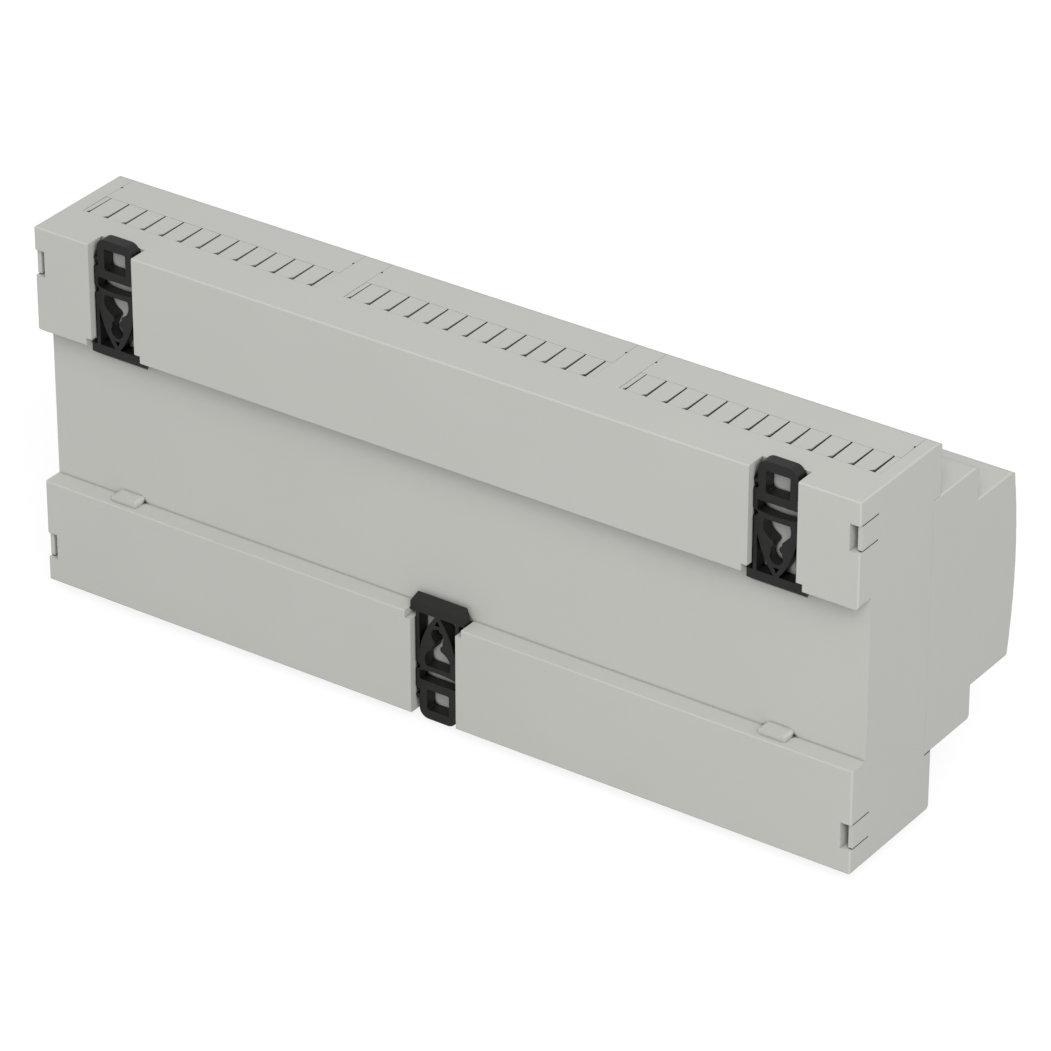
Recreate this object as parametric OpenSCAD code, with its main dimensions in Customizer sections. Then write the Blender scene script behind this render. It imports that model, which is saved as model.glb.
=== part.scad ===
// Rail-mount housing for circuit modules: a hollow rear base with a channel for a 35 mm
// top-hat rail, a stepped front cover with a crowned panel, six snap-in terminal guards
// with break-out fingers, and three sprung clips that hook behind the edges of the rail.
//
// X runs along the rail, +Y points back towards the rail, Z is up. The origin is the middle
// of the channel floor, where the rail's flanges lie. "Left" and "right" are as seen from
// the front. Depths are measured forward from the back face.

/* [Housing] */
// Length along the rail
body_length = 214.6; // [190:0.2:320]
// Height across the rail
body_height = 90; // [88:0.5:110]
// Depth of the tall rear block, up to the terminal faces
terminal_depth = 31.8; // [29:0.1:38]
// Depth of the shoulder step
shoulder_depth = 47.5; // [42:0.1:54]
// Depth of the front face at its upper and lower edges
front_depth = 62.6; // [58:0.2:80]
// How far the middle of the front face stands out past its edges
front_bulge = 2; // [0.5:0.1:4]
// Height of the shoulder step
shoulder_height = 62.3; // [56:0.1:66]
// Height of the front face
front_height = 45.8; // [40:0.2:50]
// How far the two steps sit above the middle of the rail
tier_rise = 0.75; // [0:0.05:2]
// Wall thickness of every moulding
wall = 1.6; // [1.2:0.1:2]
// Radius of the edges round the two end faces
end_radius = 0.4; // [0.2:0.05:1]
// Radius of the long edges of the back face
back_radius = 0.35; // [0.2:0.05:1]
// Radius of the long edges of the front steps
tier_radius = 2; // [1.7:0.1:3]
// Gap along the seams between mouldings
seam_gap = 0.05; // [0.04:0.01:0.2]
// How far the cover plugs in behind the terminal faces
cover_plug = 2.8; // [2.2:0.1:4]

/* [Rail channel] */
// Height of the channel
channel_height = 38.8; // [38:0.1:42]
// Depth of the channel
channel_depth = 5.05; // [4.6:0.05:6]
// Radius of the channel's two lips
lip_radius = 0.25; // [0.1:0.05:0.6]
// Radius of the upper block's end corners beside the channel
block_corner = 1.1; // [0.5:0.1:2]
// Length of each of the two lugs that carry the rail's lower edge
lug_length = 6.8; // [4:0.1:10]
// Height of the lugs above the lower ledge
lug_height = 1.5; // [0.8:0.1:2]
// How far the lugs stand out from the channel floor
lug_reach = 3.5; // [2:0.05:4.2]

/* [Rail clips] */
// Distance of the upper clips and of the lugs from the nearer end
clip_inset = 21.1; // [18:0.1:30]
// Width of the clip's body
clip_width = 11.4; // [11:0.1:12.4]
// Thickness of the clip
clip_thickness = 3; // [2.8:0.05:3.3]
// Depth of the clip's rear face behind the back face
clip_sink = 1.75; // [1.6:0.05:2]
// Gap between a clip and the walls beside it
clip_gap = 0.3; // [0.2:0.05:0.4]
// How far a clip slides outward to free the rail
clip_travel = 1.4; // [1:0.1:1.8]
// How far the loop stands out past the housing
loop_overhang = 1.25; // [0.5:0.05:3]
// Width of the loop
loop_width = 9.9; // [9.4:0.1:10.6]
// Width of the square hole in the loop
loop_hole_width = 5.9; // [5:0.1:6.4]
// Height of the square hole in the loop
loop_hole_height = 5.2; // [4.6:0.1:5.4]
// Radius of the hole's corners
loop_hole_radius = 0.35; // [0.2:0.05:0.6]
// Width of the jaw
jaw_width = 14.4; // [13.8:0.1:15]
// How far the tip of the jaw reaches into the channel
jaw_reach = 3.5; // [2.8:0.1:3.8]
// Thickness of the jaw behind the rail's edge
jaw_thickness = 2.1; // [1.8:0.05:2.2]
// Radius of the upper pocket between the spring arms
upper_pocket_radius = 3.4; // [2.8:0.1:3.5]
// Radius of the lower pocket between the spring arms
lower_pocket_radius = 1.65; // [1.5:0.05:2.1]
// Width of the neck that joins the two pockets
neck_width = 2.7; // [2:0.1:3]

/* [Terminal guards] */
// Length of a row that its three guards leave free, for the pillars and both ends
pillar_total = 22; // [16:0.5:60]
// How far the rows of guards sit off the middle of the housing, to the left where negative
guard_shift = -0.45; // [-1.2:0.05:1.2]
// Depth at which the fingers of the guards end
finger_start = 12.3; // [11:0.1:15]
// Length of the fingers
finger_length = 8.3; // [6:0.1:12]
// Distance from finger to finger
finger_pitch = 5.1; // [4:0.01:7]
// Distance of the first slit from the guard's edge
finger_margin = 1.65; // [1:0.05:3]
// Width of a slit at its closed end
slit_width = 0.4; // [0.25:0.05:0.6]
// Width of a slit at its open end
slit_mouth = 0.65; // [0.5:0.05:0.9]
// Width of the flare where a slit meets the guard's edge
slit_flare = 1.3; // [0.9:0.1:1.6]
// Gap between the ends of the fingers and the housing
finger_gap = 0.12; // [0.06:0.02:0.3]
// How far the fingers lie below the guard's face
finger_recess = 0.08; // [0.04:0.02:0.3]

/* [Front panel] */
// Width of the cover's frame at the panel's two ends
panel_margin_x = 6; // [4:0.5:12]
// Width of the cover's frame above and below the panel
panel_margin_z = 4; // [3:0.5:6]
// Thickness of the panel
panel_thickness = 1.5; // [1:0.1:2]

/* [Snap tongues] */
// Distance between the upper and the lower tongue of an end face
tongue_pitch = 72.1; // [70:0.1:74]
// How far the pair of tongues sits above the middle
tongue_rise = 0.1; // [0:0.1:1.2]
// Width of a tongue
tongue_width = 6.4; // [4:0.1:7]
// Length of a tongue
tongue_length = 7.1; // [5:0.1:9]
// Thickness of a tongue
tongue_thickness = 1.1; // [0.8:0.05:1.2]
// How far a tongue ends short of the back face
tongue_recess = 0.9; // [0.3:0.1:2]
// Width of the notch in the back face beside a tongue
notch_width = 1.5; // [1.3:0.1:2.4]

/* [Hidden] */
$fn = 64;

light_grey = [0.72, 0.72, 0.70];
cover_grey = [0.70, 0.70, 0.68];
guard_grey = [0.74, 0.74, 0.72];
clip_black = [0.13, 0.13, 0.14];

// How far a cutting shape runs past what it cuts
cut = 1;
// Length that is certain to reach past the whole housing
reach = body_length + 2 * body_height;

// Planes across the depth, from back to front
back_y = channel_depth;
seat_y = back_y - terminal_depth + cover_plug;
terminal_y = back_y - terminal_depth;
shoulder_y = back_y - shoulder_depth;
crest_y = back_y - front_depth - front_bulge;

top_z = body_height / 2;
ledge_z = channel_height / 2;
shoulder_half = shoulder_height / 2;
front_half = front_height / 2;

// The front face is a shallow arc through its two edges and its crest
crown_radius = (front_half * front_half + front_bulge * front_bulge) / (2 * front_bulge);
crown_y = crest_y + crown_radius;
// How much the arc trims off the rounded edges that it runs into
corner_trim = 0.04;
// Thickness of the lip that the panel lies on
panel_lip = 1.3;
panel_half_x = body_length / 2 - panel_margin_x;
panel_half_z = front_half - panel_margin_z;

// Clip frame: u across the clip, w outward from the channel's edge, t forward from its rear face
slot_half = clip_width / 2 + clip_gap;
// Free depth between a clip and the floor of its slot
slot_room = 0.3;
slot_depth = clip_sink + clip_thickness + slot_room;
block_height = top_z - ledge_z;
clip_end = block_height + loop_overhang;
// Distances from the loop's end back to where the rails end, the loop starts and the crossbar starts
rail_setback = 4.8;
loop_length = 9.6;
crossbar_setback = 13.6;
foot_top = 0.35;
foot_back = 1.85;
foot_corner = 0.7;
shoulder_room = 0.1;
pocket_height = foot_top + clip_travel + shoulder_room;
jaw_pocket_half = jaw_width / 2 + clip_gap;
rail_width = 0.9;
rail_end = clip_end - rail_setback;
loop_rim = 2.3;
loop_radius = 2.4;
loop_start = clip_end - loop_length;
bow_sag = 0.5;
bow_half = 4.9;
bow_slit_height = 2.8;
crossbar_start = clip_end - crossbar_setback;
arm_foot_half = 0.6;
arm_top_half = 5.1;
// How far the centre of the upper pocket lies below the crossbar
pocket_offset = 1.4;
upper_pocket_w = crossbar_start - pocket_offset;
lower_pocket_w = 4.9;
neck_bump_radius = 0.9;
neck_bump_offset = 1.6;
neck_bump_high = 7.9;
neck_bump_low = 7.1;
tip_window_half = 0.7;
tip_window_low = 1.1;
tip_window_high = 2.4;
side_notch_radius = 0.75;
side_notch_depth = 1;

// The clip's side flanges run in grooves of the slot walls, whose ends stop it both ways
flange_thickness = 1.1;
flange_reach = 1;
groove_wall = 0.9;
groove_start = pocket_height + groove_wall;
flange_start = groove_start + clip_gap;
flange_end = clip_end - rail_setback - flange_thickness;
groove_half = clip_width / 2 + flange_reach + clip_gap;
groove_end = flange_end + clip_travel + clip_gap;

// Guards lie in openings of the tall block, three above and three below
guards_per_row = 3;
guard_pitch = body_length / guards_per_row;
guard_length = guard_pitch - pillar_total / guards_per_row;
guard_ledge = 2.6;
finger_end_y = back_y - finger_start;
slit_count = floor((guard_length - finger_margin - slit_flare) / finger_pitch) + 1;
relief_radius = 0.4;
relief_depth = 26;
// The last slit of a guard is narrower than the others
last_slit_share = 0.55;
web_seat = 2.4;
// Each guard snaps in with two legs
leg_depth = 22;
leg_length = 5;
leg_thickness = 1.1;
leg_catch = 0.5;
panel_rim = 1.6;
panel_corner = 1;
// Play between the panel and the lip behind it
panel_play = 0.05;

// Cover's hooks reach back through the base and catch behind the snap tongues
skirt_gap = 0.3;
skirt_thickness = 0.8;
skirt_back = 18;
skirt_front = 26;
skirt_root = 34;
skirt_half = 28;
hook_back = 4.4;
hook_catch = 0.6;
hook_side_gap = 0.4;
tongue_slit = 0.3;
notch_x = body_length / 2 - tongue_thickness - notch_width;

// Extrudes a (Y, Z) section along X, centred
module along_x(length) {
    rotate([90, 0, 90]) linear_extrude(height = length, center = true) children();
}

// Extrudes an (X, Z) outline along Y, from one plane forward to another
module along_y(from_y, to_y) {
    translate([0, from_y, 0]) rotate([90, 0, 0]) linear_extrude(height = from_y - to_y) children();
}

// What lies outside a circle of radius r in a convex corner at the origin
module corner_cut(r) {
    difference() {
        translate([-r, -r]) square(r + cut);
        translate([-r, -r]) circle(r);
    }
}

// A section and its mirror image about the middle line
module above_and_below() {
    children();
    mirror([0, 1]) children();
}

// A rectangle between two corners, with its four corners rounded
module rounded_rectangle(low, high, r) {
    difference() {
        translate(low) square(high - low);
        for (corner = [[high.x, high.y, 0], [low.x, high.y, 90], [low.x, low.y, 180], [high.x, low.y, 270]])
            translate([corner.x, corner.y]) rotate(corner.z) corner_cut(r);
    }
}

// Rounds the edges of both end faces: keeps what lies inside a plan and a front outline
module with_round_ends(front_y, rear_y, low_z, high_z) {
    half = body_length / 2;
    intersection() {
        children();
        translate([0, 0, -reach / 2]) linear_extrude(height = reach)
            rounded_rectangle([-half, front_y], [half, rear_y], end_radius);
        along_y(reach / 2, -reach / 2) rounded_rectangle([-half, low_z], [half, high_z], end_radius);
    }
}

// Puts something at both ends of the upper block, over the rail's lugs
module at_upper_clips() {
    for (side = [-1, 1])
        translate([side * (body_length / 2 - clip_inset), 0, 0]) children();
}

// Puts an upper row's part at each of its three guards
module at_guards() {
    for (index = [1:guards_per_row])
        translate([guard_x(index), 0, 0]) children();
}

// Puts something at each of the four snap tongues, two in either end face
module at_tongues() {
    for (end = [0, 1], side = [-1, 1])
        mirror([end, 0, 0]) translate([0, 0, tongue_rise + side * tongue_pitch / 2]) children();
}

function guard_x(index) = guard_shift + (index - (guards_per_row + 1) / 2) * guard_pitch;

// Section of the tall rear block, without the channel
module block_section() {
    difference() {
        translate([terminal_y, -top_z]) square([terminal_depth, body_height]);
        above_and_below() translate([back_y, top_z]) corner_cut(back_radius);
        above_and_below() translate([terminal_y, top_z]) mirror([1, 0]) corner_cut(tier_radius);
    }
}

// Section of the rail channel, with rounded lips
module channel_section() {
    translate([0, -ledge_z]) square([channel_depth + cut, channel_height]);
    above_and_below() translate([back_y, ledge_z]) mirror([0, 1]) corner_cut(lip_radius);
}

// What rounds the upper block's end corners beside the channel
module block_corner_cuts() {
    for (end = [0, 1])
        mirror([end, 0, 0]) along_y(back_y + cut, 0)
            translate([body_length / 2, ledge_z]) mirror([0, 1]) corner_cut(block_corner);
}

// Section of the hollow inside the rear block
module base_hollow_section() {
    inner_z = top_z - wall;
    translate([terminal_y + wall, -inner_z]) square([-terminal_y - 2 * wall, 2 * inner_z]);
    above_and_below() translate([-wall - cut, ledge_z + wall])
        square([channel_depth + cut, inner_z - ledge_z - wall]);
}

// Section of the room that the cover's foot takes up in the front of the block
module cover_room_section() {
    translate([terminal_y - cut, tier_rise - shoulder_half - seam_gap])
        square([cover_plug + cut, shoulder_height + 2 * seam_gap]);
}

// L-shaped band round the block's upper front corner, between two depths below its surface.
// rise is how far the cover's steps sit towards this corner.
module corner_band(rise, outer, inner, end_y) {
    low_z = rise + shoulder_half + seam_gap;
    difference() {
        translate([terminal_y + outer, low_z]) square([end_y - terminal_y - outer, top_z - outer - low_z]);
        translate([terminal_y + inner, low_z - cut]) square([terminal_depth, top_z - inner - low_z + cut]);
    }
}

// Room for one guard in the block's skin
module guard_opening(rise) {
    along_x(guard_length + 2 * seam_gap) corner_band(rise, -cut, wall, finger_end_y);
}

// Ledges that the two ends of a guard lie on
module guard_ledges(rise) {
    for (side = [-1, 1])
        translate([side * (guard_length - guard_ledge + wall) / 2, 0, 0])
            along_x(guard_ledge + wall) corner_band(rise, wall / 2, 2 * wall, finger_end_y + wall);
}

// Webs behind the pillars between guards, which also carry the cover's long wall
module pillar_webs(rise) {
    seat_z = rise + shoulder_half - web_seat;
    for (side = [-1, 1])
        translate([guard_shift + side * guard_pitch / 2, 0, 0]) along_x(wall)
            translate([terminal_y + wall / 2, seat_z])
                square([finger_end_y - terminal_y, top_z - wall / 2 - seat_z]);
}

// Solid round the slot of one upper clip, with the floor below the clip's foot
module clip_trough() {
    half = groove_half + wall;
    low_y = min(back_y - slot_depth, 0) - wall;
    translate([-half, low_y, ledge_z + wall / 2])
        cube([2 * half, back_y - wall / 2 - low_y, block_height - wall]);
    translate([-half, low_y, ledge_z - 2 * wall])
        cube([2 * half, -wall / 2 - low_y, 3 * wall]);
}

// Room for one upper clip: its slot, the pocket for the jaw's shoulders and the grooves
// for the side flanges
module clip_slot() {
    floor_y = back_y - slot_depth;
    translate([-slot_half, floor_y, ledge_z])
        cube([2 * slot_half, slot_depth + cut, block_height + cut]);
    translate([-jaw_pocket_half, floor_y, ledge_z])
        cube([2 * jaw_pocket_half, slot_depth + cut, pocket_height]);
    translate([-groove_half, floor_y, ledge_z + groove_start])
        cube([2 * groove_half, slot_room + flange_thickness + clip_gap, groove_end - groove_start]);
}

// A lug that the rail's lower edge rests on, with rounded upper corners
module rail_lug() {
    half = lug_length / 2;
    along_y(lug_reach, -wall / 2) difference() {
        translate([-half, -ledge_z - wall / 2]) square([lug_length, lug_height + wall / 2]);
        for (side = [0, 1])
            mirror([side, 0]) translate([half, lug_height - ledge_z]) corner_cut(lug_height / 2);
    }
}

// Thin walls round the notch of a snap tongue in the right end
module tongue_lining() {
    depth = hook_back - hook_side_gap;
    translate([notch_x - wall / 2, back_y - depth, -(tongue_width + wall) / 2])
        cube([tongue_thickness + notch_width, depth - wall / 2, tongue_width + wall]);
}

// Cuts at a snap tongue in the right end: a notch, which also thins the tongue, the step
// at the tongue's end and the slit on either side of it
module tongue_cuts() {
    front_y = back_y - tongue_length;
    translate([notch_x, front_y, -tongue_width / 2])
        cube([notch_width, tongue_length + cut, tongue_width]);
    translate([notch_x, back_y - tongue_recess, -tongue_width / 2])
        cube([notch_width + tongue_thickness + cut, tongue_recess + cut, tongue_width]);
    slit_x = notch_x + notch_width / 2;
    for (side = [-1, 1])
        translate([slit_x, front_y, side * (tongue_width - tongue_slit) / 2 - tongue_slit / 2])
            cube([notch_width / 2 + tongue_thickness + cut, tongue_length + cut, tongue_slit]);
}

module rear_base() {
    color(light_grey) difference() {
        union() {
            with_round_ends(terminal_y, back_y, -top_z, top_z) difference() {
                along_x(body_length) difference() {
                    block_section();
                    channel_section();
                }
                along_x(body_length - 2 * wall) base_hollow_section();
            }
            at_upper_clips() clip_trough();
            at_upper_clips() rail_lug();
            mirror([0, 0, 1]) clip_trough();
            for (side = [0, 1])
                mirror([0, 0, side]) {
                    pillar_webs(tier_rise * (1 - 2 * side));
                    at_guards() guard_ledges(tier_rise * (1 - 2 * side));
                }
            at_tongues() tongue_lining();
        }
        along_x(body_length + 2 * cut) cover_room_section();
        block_corner_cuts();
        for (side = [0, 1])
            mirror([0, 0, side]) at_guards() guard_opening(tier_rise * (1 - 2 * side));
        at_upper_clips() clip_slot();
        mirror([0, 0, 1]) clip_slot();
        at_tongues() tongue_cuts();
    }
}

// Section of the shoulder step, at an inset from its surface
module shoulder_section(inset) {
    half = shoulder_half - inset;
    radius = max(tier_radius - inset, tier_radius / 4);
    difference() {
        translate([shoulder_y + inset, -half]) square([seat_y - shoulder_y - inset, 2 * half]);
        above_and_below() translate([shoulder_y + inset, half]) mirror([1, 0]) corner_cut(radius);
    }
}

// Section of the crowned front step, before the arc trims its front. inset is measured
// from its upper and lower faces, and front_inset from the arc, which trims its corners.
module crown_blank(inset, front_inset) {
    half = front_half - inset;
    radius = max(tier_radius - inset, tier_radius / 4);
    arc = crown_radius - front_inset;
    lean = asin((half - radius) / (arc - radius));
    corner_y = crown_y - (arc - radius) * cos(lean) - corner_trim;
    far = 4 * tier_radius;
    difference() {
        translate([corner_y - far, -half]) square([seat_y - corner_y + far, 2 * half]);
        above_and_below() translate([corner_y, half - radius]) difference() {
            polygon([[0, 0], [0, far], [-far - cut, far], [-far - cut, (far + cut) * tan(lean)]]);
            circle(radius);
        }
    }
}

// Section of the hollow inside the crowned step
module crown_hollow(inset, front_inset) {
    intersection() {
        crown_blank(inset, front_inset);
        translate([crown_y, 0]) circle(crown_radius - front_inset, $fn = 360);
    }
}

// Barrel about the arc's axis, which crowns the front and rounds it towards both end faces
module crown_barrel() {
    translate([0, crown_y, 0]) rotate([0, 90, 0]) rotate_extrude($fn = 360)
        intersection() {
            rounded_rectangle([-crown_radius, -body_length / 2], [crown_radius, body_length / 2], end_radius);
            translate([crown_radius / 2, -body_length]) square([crown_radius, 2 * body_length]);
        }
}

// The cover's outer form: shoulder step and crowned step
module cover_form() {
    with_round_ends(shoulder_y, reach, -shoulder_half, shoulder_half)
        along_x(body_length) shoulder_section(0);
    intersection() {
        along_x(body_length + cut) crown_blank(0, 0);
        crown_barrel();
        along_y(reach, -reach)
            rounded_rectangle([-body_length / 2, -front_half], [body_length / 2, front_half], end_radius);
    }
}

// Room for the panel in the cover's front, and the window behind it
module panel_room() {
    along_y(0, -reach)
        square([2 * (panel_half_x - panel_rim), 2 * (panel_half_z - panel_rim)], center = true);
    difference() {
        along_y(seat_y, -reach) square([2 * panel_half_x, 2 * panel_half_z], center = true);
        along_x(reach) translate([crown_y, 0]) circle(crown_radius - panel_thickness, $fn = 360);
    }
}

// Skirt inside one end wall, whose two arms reach back and catch behind the snap tongues
module cover_skirt() {
    inner_x = body_length / 2 - wall - skirt_gap - skirt_thickness;
    outer_x = inner_x + skirt_thickness;
    arm_half = tongue_width / 2 - hook_side_gap;
    catch_y = back_y - tongue_length + hook_side_gap / 2;
    translate([inner_x, back_y - skirt_root, tier_rise - skirt_half])
        cube([wall, skirt_root - terminal_depth + cover_plug, 2 * skirt_half]);
    translate([inner_x, back_y - skirt_root, tier_rise - skirt_half])
        cube([skirt_thickness, skirt_root - skirt_back, 2 * skirt_half]);
    translate([inner_x, back_y - skirt_front, tongue_rise - tongue_pitch / 2 - arm_half])
        cube([skirt_thickness, skirt_front - skirt_back, tongue_pitch + 2 * arm_half]);
    for (side = [-1, 1])
        translate([0, 0, tongue_rise + side * tongue_pitch / 2 - arm_half])
            linear_extrude(height = 2 * arm_half)
                polygon([
                    [inner_x, back_y - skirt_back - cut],
                    [outer_x, back_y - skirt_back - cut],
                    [outer_x, catch_y],
                    [outer_x + hook_catch, catch_y],
                    [outer_x, catch_y + 3 * hook_catch],
                    [outer_x, back_y - hook_back],
                    [inner_x, back_y - hook_back],
                ]);
}

module front_cover() {
    color(cover_grey) {
        difference() {
            translate([0, 0, tier_rise]) cover_form();
            translate([0, 0, tier_rise]) along_x(body_length - 2 * wall) {
                shoulder_section(wall);
                translate([cut, 0]) shoulder_section(wall);
                crown_hollow(wall, panel_thickness + panel_lip);
                translate([cut, 0]) crown_hollow(wall, panel_thickness + panel_lip);
            }
            translate([0, 0, tier_rise]) panel_room();
        }
        for (end = [0, 1])
            mirror([end, 0, 0]) cover_skirt();
    }
}

module front_panel() {
    gap = 2 * seam_gap;
    color(guard_grey) translate([0, 0, tier_rise]) intersection() {
        along_x(2 * panel_half_x - 2 * gap) difference() {
            translate([crown_y, 0]) circle(crown_radius, $fn = 360);
            translate([crown_y, 0]) circle(crown_radius - panel_thickness + panel_play, $fn = 360);
        }
        along_y(seat_y, -reach) rounded_rectangle(
            [gap - panel_half_x, gap - panel_half_z], [panel_half_x - gap, panel_half_z - gap], panel_corner);
    }
}

// Plan of one slit between two fingers: it widens towards the guard's edge and flares at its mouth
module slit_plan(share) {
    edge = finger_end_y;
    scale([share, 1]) polygon([
        [-slit_width / 2, edge - finger_length],
        [slit_width / 2, edge - finger_length],
        [slit_mouth / 2, edge - slit_flare],
        [slit_flare, edge],
        [slit_flare, edge + cut],
        [-slit_mouth / 2, edge + cut],
        [-slit_mouth / 2, edge],
    ]);
}

// Sprung leg under one end of a guard, which catches below the base's ledge
module guard_leg() {
    outer_x = guard_length / 2 - guard_ledge - skirt_gap;
    under = top_z - wall;
    catch_z = under - wall - skirt_gap;
    translate([0, back_y - leg_depth, 0]) along_y(0, -leg_length) polygon([
        [outer_x - leg_thickness, under + wall / 4],
        [outer_x, under + wall / 4],
        [outer_x, catch_z],
        [outer_x + skirt_gap + leg_catch, catch_z],
        [outer_x, catch_z - 3 * leg_catch],
        [outer_x - leg_thickness, catch_z - 3 * leg_catch],
    ]);
}

// One guard of the upper row, in the middle of the housing
module terminal_guard(rise) {
    first = finger_margin - guard_length / 2;
    difference() {
        along_x(guard_length) intersection() {
            block_section();
            corner_band(rise, 0, wall, finger_end_y - finger_gap);
        }
        translate([-guard_length, finger_end_y - finger_length, top_z - finger_recess])
            cube([2 * guard_length, finger_length + cut, cut]);
        translate([0, 0, top_z - 2 * wall]) linear_extrude(height = 3 * wall)
            for (k = [0:slit_count - 1])
                translate([first + k * finger_pitch, 0]) slit_plan(k == slit_count - 1 ? last_slit_share : 1);
        for (side = [-1, 1])
            translate([side * guard_length / 2, back_y - relief_depth, top_z - wall / 2])
                cylinder(h = wall, r = relief_radius);
    }
    for (side = [0, 1])
        mirror([side, 0, 0]) guard_leg();
}

module terminal_guard_upper(index) {
    color(guard_grey) translate([guard_x(index), 0, 0]) terminal_guard(tier_rise);
}

module terminal_guard_lower(index) {
    color(guard_grey) translate([guard_x(index), 0, 0]) mirror([0, 0, 1]) terminal_guard(-tier_rise);
}

// Outline of a clip's body in its (u, w) frame: two rails, the loop and the crossbar
module clip_frame_outline() {
    half = clip_width / 2;
    difference() {
        union() {
            translate([-half, foot_top - cut / 2]) square([clip_width, rail_end - foot_top + cut / 2]);
            translate([-loop_width / 2, loop_start])
                square([loop_width, clip_end - loop_start - loop_radius]);
            translate([0, clip_end - loop_radius]) {
                square([loop_width - 2 * loop_radius, 2 * loop_radius], center = true);
                for (side = [-1, 1])
                    translate([side * (loop_width / 2 - loop_radius), 0]) circle(loop_radius);
            }
        }
        translate([rail_width - half, foot_top])
            square([clip_width - 2 * rail_width, crossbar_start - foot_top]);
        rounded_rectangle(
            [-loop_hole_width / 2, clip_end - loop_rim - loop_hole_height],
            [loop_hole_width / 2, clip_end - loop_rim], loop_hole_radius);
        bow_slit();
        for (side = [-1, 1], w = [crossbar_start + side_notch_radius, rail_end - 2 * side_notch_radius])
            translate([side * (half - side_notch_depth + side_notch_radius), w]) circle(side_notch_radius);
    }
}

// Slit between the loop and the crossbar, straight on the loop's side and bowed on the other
module bow_slit() {
    arc = (bow_half * bow_half + bow_sag * bow_sag) / (2 * bow_sag);
    intersection() {
        translate([0, loop_start - bow_slit_height + arc]) circle(arc, $fn = 128);
        translate([-bow_half, crossbar_start]) square([2 * bow_half, loop_start - crossbar_start]);
    }
}

// Outline of the two spring arms: a leaf between two arcs, with two pockets and a narrow neck
module spring_arm_outline() {
    length = crossbar_start - foot_top;
    spread = arm_top_half - arm_foot_half;
    arc = (length * length + spread * spread) / (2 * spread);
    difference() {
        intersection() {
            translate([arm_top_half - arc, crossbar_start]) circle(arc, $fn = 180);
            translate([arc - arm_top_half, crossbar_start]) circle(arc, $fn = 180);
            translate([-clip_width / 2, foot_top - cut / 2])
                square([clip_width, length + cut]);
        }
        intersection() {
            translate([0, upper_pocket_w]) circle(upper_pocket_radius);
            translate([-clip_width, 0]) square([2 * clip_width, crossbar_start]);
        }
        translate([0, lower_pocket_w]) circle(lower_pocket_radius);
        difference() {
            translate([-neck_width / 2, lower_pocket_w])
                square([neck_width, upper_pocket_w - lower_pocket_w]);
            translate([neck_bump_offset, neck_bump_high]) circle(neck_bump_radius);
            translate([-neck_bump_offset, neck_bump_low]) circle(neck_bump_radius);
        }
        polygon([
            [-tip_window_half, tip_window_high],
            [0, tip_window_low],
            [tip_window_half, tip_window_high],
        ]);
    }
}

// Foot and jaw of a clip: a wedge that ends in a lip behind the rail's edge
module clip_jaw() {
    half = jaw_width / 2;
    intersection() {
        rotate([90, 0, 90]) linear_extrude(height = jaw_width, center = true) polygon([
            [0, foot_top],
            [0, -foot_back],
            [-jaw_thickness, -jaw_reach],
            [-jaw_thickness, 0],
            [-clip_thickness, 0],
            [-clip_thickness, foot_top],
        ]);
        rotate([90, 0, 0]) translate([0, 0, -cut]) linear_extrude(height = clip_thickness + 2 * cut) polygon([
            [-half, cut],
            [-half, foot_corner - jaw_reach + cut],
            [foot_corner - half, -jaw_reach],
            [half - foot_corner, -jaw_reach],
            [half, foot_corner - jaw_reach + cut],
            [half, cut],
        ]);
    }
}

// One clip in its own frame: u along X, w along Z, rear face at y = 0
module rail_clip() {
    color(clip_black) {
        rotate([90, 0, 0]) linear_extrude(height = clip_thickness) {
            clip_frame_outline();
            spring_arm_outline();
        }
        clip_jaw();
        for (side = [0, 1])
            mirror([side, 0, 0]) translate([(clip_width - rail_width) / 2, -clip_thickness, flange_start])
                cube([flange_reach + rail_width / 2, flange_thickness, flange_end - flange_start]);
    }
}

// An upper clip in its slot
module upper_clip(x) {
    translate([x, back_y - clip_sink, ledge_z]) rail_clip();
}

rear_base();
front_cover();
front_panel();
terminal_guard_upper(1);  // terminal_guard_upper_1
terminal_guard_upper(2);  // terminal_guard_upper_2
terminal_guard_upper(3);  // terminal_guard_upper_3
terminal_guard_lower(1);  // terminal_guard_lower_1
terminal_guard_lower(2);  // terminal_guard_lower_2
terminal_guard_lower(3);  // terminal_guard_lower_3
upper_clip(clip_inset - body_length / 2);  // rail_clip_upper_left
upper_clip(body_length / 2 - clip_inset);  // rail_clip_upper_right
rotate([0, 180, 0]) upper_clip(0);  // rail_clip_lower
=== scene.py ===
"""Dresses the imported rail-mount housing for its portrait.

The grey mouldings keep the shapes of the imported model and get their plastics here. The
three black rail clips are rebuilt with the small edge radii and the draft of a real
moulding. A pale floor, a soft studio and the camera of the photograph complete the scene.

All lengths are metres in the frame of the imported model: X runs along the rail, +Y points
back towards the rail, Z is up, and the origin is the middle of the channel floor.
"""

import logging
from dataclasses import dataclass
from enum import Enum

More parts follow.
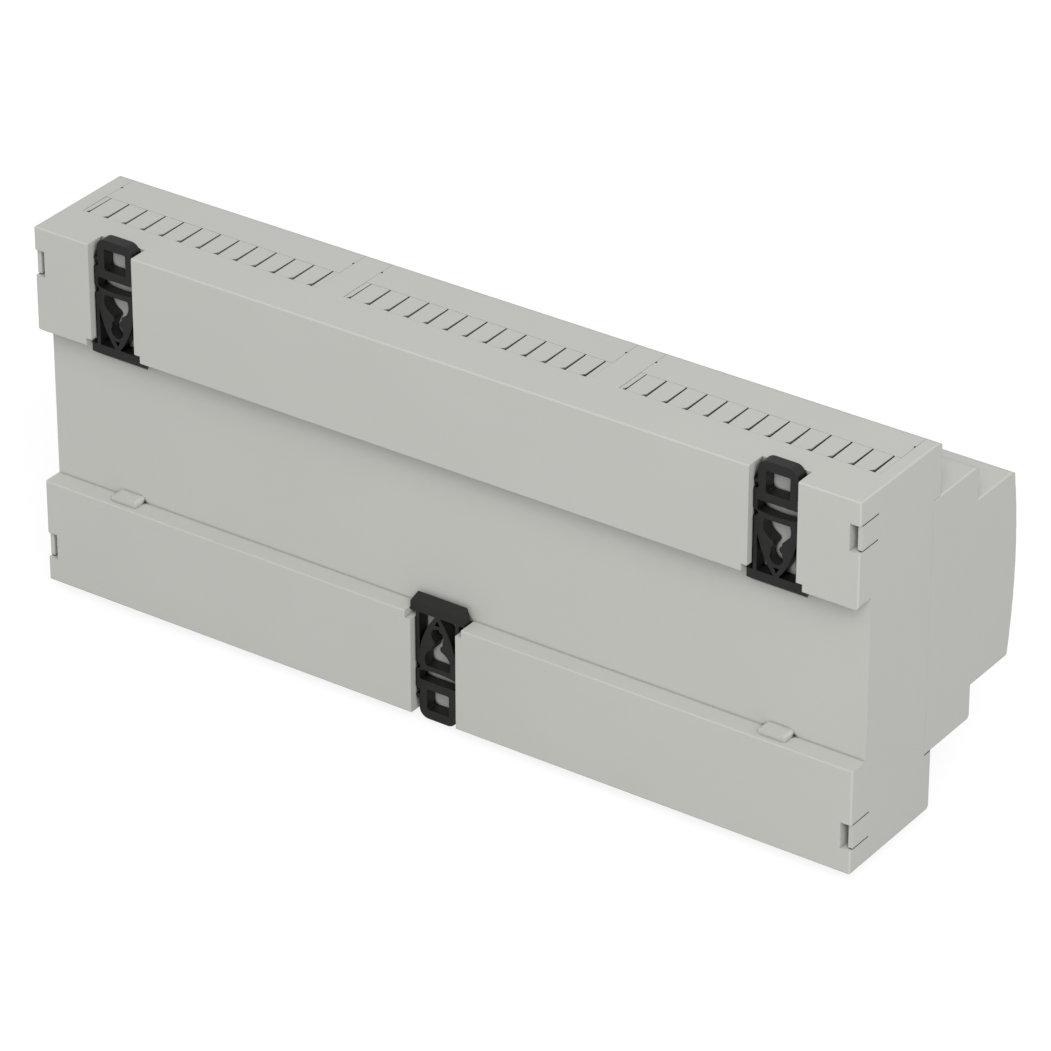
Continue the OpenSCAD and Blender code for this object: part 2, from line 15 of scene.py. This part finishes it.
import bmesh
import bpy
import numpy as np
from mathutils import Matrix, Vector


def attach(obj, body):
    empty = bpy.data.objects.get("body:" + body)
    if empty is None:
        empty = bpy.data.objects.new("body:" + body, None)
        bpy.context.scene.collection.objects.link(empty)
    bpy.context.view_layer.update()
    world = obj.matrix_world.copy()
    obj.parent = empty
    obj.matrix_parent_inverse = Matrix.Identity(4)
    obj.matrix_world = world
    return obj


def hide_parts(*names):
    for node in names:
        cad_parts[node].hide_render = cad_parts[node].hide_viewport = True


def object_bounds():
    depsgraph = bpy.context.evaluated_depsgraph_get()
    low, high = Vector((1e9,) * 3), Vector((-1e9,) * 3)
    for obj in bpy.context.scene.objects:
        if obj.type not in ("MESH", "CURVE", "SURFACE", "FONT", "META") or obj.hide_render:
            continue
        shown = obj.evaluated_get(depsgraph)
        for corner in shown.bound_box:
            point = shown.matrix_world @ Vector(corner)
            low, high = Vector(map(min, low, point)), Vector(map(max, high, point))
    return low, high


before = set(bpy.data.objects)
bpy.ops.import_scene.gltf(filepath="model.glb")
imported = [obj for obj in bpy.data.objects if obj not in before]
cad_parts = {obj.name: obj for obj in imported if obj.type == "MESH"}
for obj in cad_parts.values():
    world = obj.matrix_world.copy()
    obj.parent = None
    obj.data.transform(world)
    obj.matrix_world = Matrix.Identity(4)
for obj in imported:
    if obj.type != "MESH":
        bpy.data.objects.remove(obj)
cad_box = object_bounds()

logging.basicConfig(level=logging.INFO, format="%(name)s: %(message)s")
log = logging.getLogger("rail_housing")

MM = 0.001
# Gap between the floor and the lower clip, the part's lowest point, which slides 1.4 mm down
CLIP_ROOM = 1.6 * MM


def linear(sheet: str) -> tuple[float, float, float, float]:
    """Turns an sRGB hex colour into the linear RGBA that Blender's sockets take.

    Args:
        sheet: the colour as "#RRGGBB".

    Returns:
        Linear red, green and blue with an alpha of 1.
    """
    values = np.array([int(sheet[i:i + 2], 16) for i in (1, 3, 5)]) / 255
    low = values / 12.92
    high = ((values + 0.055) / 1.055) ** 2.4
    red, green, blue = np.where(values <= 0.04045, low, high)
    return float(red), float(green), float(blue), 1.0


def add_node(tree: bpy.types.NodeTree, kind: str, settings: dict | None = None,
             links: dict | None = None) -> bpy.types.Node:
    """Adds one node to a tree with its settings, socket values and links.

    Args:
        tree: the node tree that the node is added to.
        kind: the node's type, such as "ShaderNodeTexNoise".
        settings: attributes of the node, and values of its input sockets by name.
        links: output sockets by the name or index of the input that they feed.

    Returns:
        The new node.
    """
    node = tree.nodes.new(kind)
    for name, value in (settings or {}).items():
        if name in node.inputs:
            node.inputs[name].default_value = value
        else:
            setattr(node, name, value)
    for name, output in (links or {}).items():
        tree.links.new(output, node.inputs[name])
    return node


class Cavity(Enum):
    """How the steel that a plastic was moulded against was finished: the depth of its bump."""

    SPARKED = 0.35
    STONED = 0.2
    POLISHED = 0.12


@dataclass(frozen=True)
class MouldedPlastic:
    """A pigmented thermoplastic, moulded against a steel cavity.

    The pigment drifts a little along the flow, the cavity leaves its grain in the
    surface, and the grain carries a faint mottle in the gloss. In crevices narrower than
    crevice_mm, painted shade darkens the colour towards black and fades the shine, as the
    share of open sky over the surface falls from crevice_open to crevice_closed.
    """

    name: str
    colour: str
    drift: str
    cavity: Cavity
    roughness: float
    gloss_spread: float
    grain_mm: float
    grain_depth_mm: float
    flow_mm: float
    edge_mm: float
    ior: float = 1.54
    shine: float = 0.5
    flow_detail: float = 3.0
    flow_roughness: float = 0.45
    grain_detail: float = 2.0
    grain_roughness: float = 0.6
    edge_samples: int = 6
    crevice_samples: int = 8
    crevice_mm: float = 1.5
    crevice_closed: float = 0.35
    crevice_open: float = 0.6
    crevice_light: float = 0.02

    def build(self) -> bpy.types.Material:
        """Builds the node material of this finish.

        Returns:
            The material, with its patterns on Object coordinates, which are metres.
        """
        material = bpy.data.materials.new(self.name)
        material.use_nodes = True
        tree = material.node_tree
        tree.nodes.clear()
        place = add_node(tree, "ShaderNodeTexCoord").outputs["Object"]
        # Pigment flow: broad clouds, a few centimetres long, between two close greys
        flow = add_node(tree, "ShaderNodeTexNoise",
                        {"Scale": 1 / (self.flow_mm * MM), "Detail": self.flow_detail,
                         "Roughness": self.flow_roughness},
                        {"Vector": place})
        blend = add_node(tree, "ShaderNodeMix",
                         {"data_type": "RGBA", "A": linear(self.colour), "B": linear(self.drift)},
                         {"Factor": flow.outputs["Fac"]})
        # Painted shade: narrow slits and crevices darken towards black, where lit walls alone stay
        # grey
        sky = add_node(tree, "ShaderNodeAmbientOcclusion",
                       {"samples": self.crevice_samples, "Distance": self.crevice_mm * MM})
        light = add_node(tree, "ShaderNodeMapRange",
                         {"From Min": self.crevice_closed, "From Max": self.crevice_open,
                          "To Min": self.crevice_light, "To Max": 1.0},
                         {"Value": sky.outputs["AO"]})
        colour_with_painted_shade = add_node(tree, "ShaderNodeMix",
                         {"data_type": "RGBA", "A": linear("#000000")},
                         {"Factor": light.outputs["Result"], "B": blend.outputs["Result"]})
        # Painted shade in the gloss too: the shine fades to nothing in the same crevices
        shine = add_node(tree, "ShaderNodeMapRange",
                         {"From Min": self.crevice_closed, "From Max": self.crevice_open,
                          "To Min": 0.0, "To Max": self.shine},
                         {"Value": sky.outputs["AO"]})
        # Cavity grain: fine pits, drawn a little coarser than real so that a close view shows them
        grain = add_node(tree, "ShaderNodeTexNoise",
                         {"Scale": 1 / (self.grain_mm * MM), "Detail": self.grain_detail,
                         "Roughness": self.grain_roughness},
                         {"Vector": place})
        gloss = add_node(tree, "ShaderNodeMapRange",
                         {"To Min": self.roughness - self.gloss_spread,
                          "To Max": self.roughness + self.gloss_spread},
                         {"Value": grain.outputs["Fac"]})
        # The cavity's own edge radius, which catches a thin line of light along every edge
        edge = add_node(tree, "ShaderNodeBevel",
                        {"samples": self.edge_samples, "Radius": self.edge_mm * MM})
        bump = add_node(tree, "ShaderNodeBump",
                        {"Strength": self.cavity.value, "Distance": self.grain_depth_mm * MM},
                        {"Height": grain.outputs["Fac"], "Normal": edge.outputs["Normal"]})
        shader = add_node(tree, "ShaderNodeBsdfPrincipled", {"IOR": self.ior},
                          {"Base Color": colour_with_painted_shade.outputs["Result"],
                           "Roughness": gloss.outputs["Result"],
                           "Specular IOR Level": shine.outputs["Result"],
                           "Normal": bump.outputs["Normal"]})
        add_node(tree, "ShaderNodeOutputMaterial", links={"Surface": shader.outputs["BSDF"]})
        return material


# ABS with a light grey pigment: matt from a spark-eroded cavity, which spreads highlights wide
HOUSING_PLASTIC = MouldedPlastic("light_grey_abs_housing", "#BEBFB9", "#BABBB5",
                                 Cavity.SPARKED, 0.62, 0.05, 0.3, 0.02, 28.0, 0.15)
# The same ABS in the cover's own cavity: its flow clouds are broader over the large steps
COVER_PLASTIC = MouldedPlastic("light_grey_abs_cover", "#BEBFB9", "#BABBB5",
                               Cavity.SPARKED, 0.62, 0.05, 0.3, 0.02, 34.0, 0.15)
# Label panel: the same grey from a polished cavity, so its crown carries a soft sheen
PANEL_PLASTIC = MouldedPlastic("light_grey_abs_panel", "#C0C1BB", "#BCBDB7",
                               Cavity.POLISHED, 0.48, 0.04, 0.22, 0.012, 40.0, 0.12)
# Guards: thin ABS from a stoned cavity, with a finer grain than the housing round them
GUARD_PLASTIC = MouldedPlastic("light_grey_abs_guard", "#BEBFB9", "#BABBB5",
                               Cavity.STONED, 0.6, 0.05, 0.26, 0.018, 18.0, 0.08)
# Glass-filled polyamide, black: a satin skin with a slight mottle where the glass fibres rise
CLIP_PLASTIC = MouldedPlastic("black_glass_filled_polyamide", "#0B0B0A", "#080807",
                              Cavity.SPARKED, 0.5, 0.08, 0.2, 0.015, 6.0, 0.06)


@dataclass(frozen=True)
class Mouldings:
    """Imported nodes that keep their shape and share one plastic."""

    nodes: tuple[str, ...]
    plastic: MouldedPlastic

    def dress(self) -> None:
        """Gives every material slot of the nodes the plastic's material."""
        material = self.plastic.build()
        for name in self.nodes:
            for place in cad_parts[name].material_slots:
                place.material = material
            log.info("%s wears %s", name, material.name)


@dataclass
class Housing:
    """The hollow rear base, the stepped front cover and the crowned panel let into it."""

    base: Mouldings = Mouldings(("rear_base",), HOUSING_PLASTIC)
    cover: Mouldings = Mouldings(("front_cover",), COVER_PLASTIC)
    panel: Mouldings = Mouldings(("front_panel",), PANEL_PLASTIC)

    def build(self) -> None:
        """Dresses the three mouldings."""
        for part in (self.base, self.cover, self.panel):
            part.dress()


@dataclass
class TerminalGuards:
    """The two rows of slit guards over the terminals."""

    per_row: int = 3
    rows: tuple[str, str] = ("upper", "lower")

    def build(self) -> None:
        """Dresses both rows of guards in one plastic."""
        names = tuple(f"terminal_guard_{row}_{place + 1}"
                      for row in self.rows for place in range(self.per_row))
        Mouldings(names, GUARD_PLASTIC).dress()


@dataclass
class RailClips:
    """The three sprung clips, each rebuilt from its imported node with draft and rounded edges.

    The cavity's edge radius runs as a quarter circle along every crease of the clip:
    at an angle a round the crease the surface lies r (1 - cos a) below one face and
    r (1 - sin a) below the other. The slit's and the pocket's places are heights from the
    channel's middle, and deep_y_mm is where the clip's deep face lies.
    """

    edge_mm: float = 0.16
    edge_steps: int = 3
    crease_degrees: float = 28.0
    flat_degrees: float = 0.5
    weld_mm: float = 0.0005
    near_mm: float = 0.02
    deep_y_mm: float = 0.3
    slit_mid_mm: float = 35.3
    slit_half_mm: float = 1.6
    slit_draft_mm: float = 0.5
    pocket_mid_mm: float = 24.3
    pocket_radius_mm: float = 1.65
    pocket_draft_mm: float = 0.4

    def build(self) -> None:
        material = CLIP_PLASTIC.build()
        for name in ("upper_left", "upper_right", "lower"):
            self.build_clip(f"rail_clip_{name}", f"{name}_clip", material)

    def build_clip(self, node: str, body: str, material: bpy.types.Material) -> None:
        """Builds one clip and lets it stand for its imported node.

        Args:
            node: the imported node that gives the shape.
            body: the body that the clip moves with.
            material: the clip's plastic.
        """
        mesh = self.welded(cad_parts[node].data, f"{node}_moulded")
        self.draft(mesh)
        mesh.materials.append(material)
        mesh.polygons.foreach_set("use_smooth", np.ones(len(mesh.polygons), dtype=bool))
        clip = bpy.data.objects.new(mesh.name, mesh)
        bpy.context.scene.collection.objects.link(clip)
        rounding = clip.modifiers.new("edge_radius", "BEVEL")
        rounding.width = self.edge_mm * MM
        rounding.segments = self.edge_steps
        rounding.limit_method = "ANGLE"
        rounding.angle_limit = np.radians(self.crease_degrees)
        rounding.harden_normals = True
        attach(clip, body)
        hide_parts(node)
        log.info("%s stands for %s, with %d faces before its edges are rounded",
                 clip.name, node, len(mesh.polygons))

    def draft(self, mesh: bpy.types.Mesh) -> None:
        """Leans the walls of the bowed slit and the lower pocket, as the draft of a mould does.

        The light that falls through both in the photograph asks for it. Only corners in the
        clip's deep face move, and they stay in it. Each wall of the slit goes away from the
        slit's middle along the clip, and the pocket's circle of radius r about its centre c
        grows by the draft d: a corner p goes to c + (p - c) (r + d) / r.

        Args:
            mesh: the clip's joined mesh, which is changed in place.
        """
        points = np.empty(3 * len(mesh.vertices), dtype=np.float32)
        mesh.vertices.foreach_get("co", points)
        points = points.reshape(-1, 3) / MM
        outward = np.sign(points[:, 2])
        across = points[:, 0] - (points[:, 0].min() + points[:, 0].max()) / 2
        deep = np.abs(points[:, 1] - self.deep_y_mm) < self.near_mm
        from_slit = points[:, 2] * outward - self.slit_mid_mm
        slit = deep & (np.abs(from_slit) < self.slit_half_mm)
        from_pocket = points[:, 2] * outward - self.pocket_mid_mm
        off_circle = np.hypot(across, from_pocket) - self.pocket_radius_mm
        pocket = deep & (np.abs(off_circle) < self.near_mm)
        points[slit, 2] += (np.sign(from_slit) * outward)[slit] * self.slit_draft_mm
        growth = self.pocket_draft_mm / self.pocket_radius_mm
        points[pocket, 0] += across[pocket] * growth
        points[pocket, 2] += (from_pocket * outward)[pocket] * growth
        mesh.vertices.foreach_set("co", (points * MM).ravel())
        mesh.update()
        log.info("%s drafts %d corners of its slit and %d of its pocket",
                 mesh.name, slit.sum(), pocket.sum())

    def welded(self, source: bpy.types.Mesh, name: str) -> bpy.types.Mesh:
        """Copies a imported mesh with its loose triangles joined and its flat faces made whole.

        Args:
            source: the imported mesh, in which every triangle has corners of its own.
            name: the new mesh's name.

        Returns:
            A closed mesh whose coplanar triangles are merged into polygons.
        """
        points = np.empty(3 * len(source.vertices), dtype=np.float32)
        source.vertices.foreach_get("co", points)
        corners = np.empty(len(source.loops), dtype=np.int32)
        source.loops.foreach_get("vertex_index", corners)
        grid = np.round(points.reshape(-1, 3) / (self.weld_mm * MM)).astype(np.int64)
        _, first, joined = np.unique(grid, axis=0, return_index=True, return_inverse=True)
        triangles = joined.reshape(-1)[corners].reshape(-1, 3)
        whole = (triangles[:, 0] != triangles[:, 1]) & (triangles[:, 1] != triangles[:, 2])
        whole &= triangles[:, 2] != triangles[:, 0]
        mesh = bpy.data.meshes.new(name)
        mesh.from_pydata(points.reshape(-1, 3)[first].tolist(), [], triangles[whole].tolist())
        work = bmesh.new()
        work.from_mesh(mesh)
        bmesh.ops.dissolve_limit(work, angle_limit=np.radians(self.flat_degrees),
                                 verts=work.verts, edges=work.edges, delimit={"NORMAL"})
        work.to_mesh(mesh)
        work.free()
        return mesh


@dataclass
class Studio:
    """A pale floor, an even white surround and one broad softbox behind and over the camera."""

    floor_z: float
    floor_half: float = 6.0
    floor_colour: str = "#C0C0C0"
    seen_colour: str = "#787878"
    seen_glow: float = 0.85
    white: str = "#FFFFFF"
    surround: float = 0.605
    lamp_place: tuple[float, float, float] = (-1.40, 1.58, 1.69)
    lamp_side: float = 1.68
    lamp_watts: float = 55.0

    def build(self) -> None:
        """Adds the floor, the world's light and the lamp."""
        self.build_floor()
        self.build_world()
        self.build_lamp()

    def build_floor(self) -> None:
        """Lays a large flat floor just under the housing.

        The camera sees it almost white from above, with the housing's soft shadow, and
        looks through it from below.
        """
        half = self.floor_half
        corners = np.array([[-half, -half], [half, -half], [half, half], [-half, half]])
        points = np.column_stack([corners, np.full(4, self.floor_z)])
        mesh = bpy.data.meshes.new("studio_floor")
        mesh.from_pydata(points.tolist(), [], [(0, 1, 2, 3)])
        floor = bpy.data.objects.new("studio_floor", mesh)
        bpy.context.scene.collection.objects.link(floor)
        mesh.materials.append(self.paper())

    def paper(self) -> bpy.types.Material:
        """Builds the floor's material: pale paper that glows where the camera sees it.

        The glow brings the paper up to the white of the background, and what is left of
        its own colour carries the housing's shadow.

        Returns:
            The floor's material.
        """
        material = bpy.data.materials.new("pale_paper_floor")
        material.use_nodes = True
        tree = material.node_tree
        tree.nodes.clear()
        paper = add_node(tree, "ShaderNodeBsdfDiffuse", {"Color": linear(self.floor_colour)})
        shaded = add_node(tree, "ShaderNodeBsdfDiffuse", {"Color": linear(self.seen_colour)})
        glow = add_node(tree, "ShaderNodeEmission",
                        {"Color": linear(self.white), "Strength": self.seen_glow})
        bright = add_node(tree, "ShaderNodeAddShader",
                          links={0: shaded.outputs[0], 1: glow.outputs[0]})
        ray = add_node(tree, "ShaderNodeLightPath")
        top = add_node(tree, "ShaderNodeMixShader",
                       links={0: ray.outputs["Is Camera Ray"], 1: paper.outputs[0],
                              2: bright.outputs[0]})
        clear = add_node(tree, "ShaderNodeBsdfTransparent")
        side = add_node(tree, "ShaderNodeNewGeometry")
        both = add_node(tree, "ShaderNodeMixShader",
                        links={0: side.outputs["Backfacing"], 1: top.outputs[0],
                               2: clear.outputs[0]})
        add_node(tree, "ShaderNodeOutputMaterial", links={"Surface": both.outputs[0]})
        return material

    def build_world(self) -> None:
        """Surrounds the scene with even white light."""
        world = bpy.data.worlds.new("white_surround")
        bpy.context.scene.world = world
        world.use_nodes = True
        tree = world.node_tree
        tree.nodes.clear()
        ray = add_node(tree, "ShaderNodeLightPath")
        light = add_node(tree, "ShaderNodeBackground",
                         {"Color": linear(self.white), "Strength": self.surround})
        backdrop = add_node(tree, "ShaderNodeBackground",
                            {"Color": linear(self.white), "Strength": 1.0})
        choose = add_node(tree, "ShaderNodeMixShader",
                          links={0: ray.outputs["Is Camera Ray"], 1: light.outputs[0],
                                 2: backdrop.outputs[0]})
        add_node(tree, "ShaderNodeOutputWorld", links={"Surface": choose.outputs[0]})

    def build_lamp(self) -> None:
        """Hangs the square softbox so that it faces the housing."""
        data = bpy.data.lights.new("broad_softbox", "AREA")
        data.size = self.lamp_side
        data.energy = self.lamp_watts
        lamp = bpy.data.objects.new(data.name, data)
        lamp.location = self.lamp_place
        lamp.rotation_mode = "QUATERNION"
        lamp.rotation_quaternion = (-Vector(self.lamp_place)).to_track_quat("-Z", "Y")
        bpy.context.scene.collection.objects.link(lamp)


@dataclass(frozen=True)
class PhotoCamera:
    """The camera of the photograph, found from the housing's edges in the picture."""

    place: tuple[float, float, float] = (-0.6460, 0.8987, 0.6416)
    forward: tuple[float, float, float] = (0.4943, -0.7108, -0.5004)
    sensor_mm: float = 36.0
    lens_mm: float = 203.3
    near: float = 0.05
    far: float = 20.0

    def build(self) -> None:
        """Creates the camera, level and aimed, and makes it the scene's camera."""
        data = bpy.data.cameras.new("photo_camera")
        data.sensor_width = self.sensor_mm
        data.lens = self.lens_mm
        data.clip_start, data.clip_end = self.near, self.far
        camera = bpy.data.objects.new(data.name, data)
        camera.location = self.place
        camera.rotation_mode = "QUATERNION"
        camera.rotation_quaternion = Vector(self.forward).to_track_quat("-Z", "Y")
        bpy.context.scene.collection.objects.link(camera)
        bpy.context.scene.camera = camera


def main() -> None:
    """Builds the sub-assemblies in order, then the studio and the camera."""
    for part in (Housing(), TerminalGuards(), RailClips()):
        part.build()
        log.info("%s is built", type(part).__name__)
    Studio(floor_z=cad_box[0].z - CLIP_ROOM).build()
    PhotoCamera().build()
    bpy.context.scene.view_settings.view_transform = "Standard"


if __name__ == "__main__":
    main()
